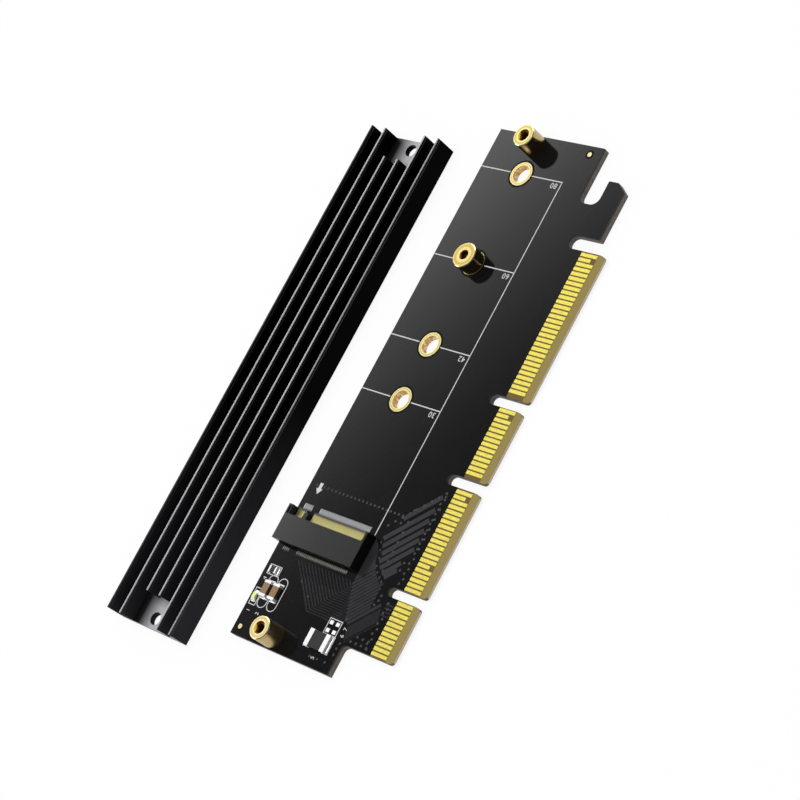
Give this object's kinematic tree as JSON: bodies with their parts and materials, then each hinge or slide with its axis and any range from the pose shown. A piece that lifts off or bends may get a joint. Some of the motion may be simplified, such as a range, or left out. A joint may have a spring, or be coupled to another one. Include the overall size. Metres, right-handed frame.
{
  "type": "drive module adapter card",
  "caption": "Flat black adapter card with a gold card-edge connector, a low drive module socket, brass standoffs and a loose black fin heatsink.",
  "frame": {"origin": "middle of the key notch on the contact edge, at the level of the board's back face", "axes": "+X along the contact edge towards the retention hook, +Y from the contact edge to the opposite long edge, +Z out of the component side"},
  "size_m": [0.1171, 0.0714, 0.006],
  "materials": {
    "black_board": "glass-fibre laminate under glossy black solder mask",
    "gold_plating": "thin bright gold plating on copper",
    "brass": "turned, bright",
    "socket_plastic": "moulded, fine matt",
    "brown_ceramic": "fired ceramic, dull",
    "chip_black": "glazed, dull",
    "lamp_resin": "clear tinted resin",
    "tin": "bright tinned",
    "black_anodised": "black anodised extrusion with a soft sheen"
  },
  "bodies": {
    "root": {"circuit_board": "black_board", "edge_contacts_front": "gold_plating", "edge_contacts_back": "gold_plating", "plated_hole_30": "gold_plating", "plated_hole_42": "gold_plating", "plated_hole_60": "gold_plating", "plated_hole_80": "gold_plating", "module_standoff": "brass", "module_clamp_nut": "brass", "heatsink_standoff_near": "brass", "heatsink_standoff_far": "brass", "socket_housing": "socket_plastic", "socket_contacts_lower": "gold_plating", "socket_contacts_upper": "gold_plating", "capacitor_body_outer": "brown_ceramic", "capacitor_ends_outer": "tin", "capacitor_body_inner": "brown_ceramic", "capacitor_ends_inner": "tin", "led_body": "lamp_resin", "led_ends": "tin", "resistor_body": "chip_black", "resistor_ends": "tin", "fuse_body": "chip_black", "fuse_ends": "tin", "component_pads": "tin", "spare_pads": "tin", "fiducial_marks": "gold_plating", "heatsink": "black_anodised"}
  },
  "joints": []
}
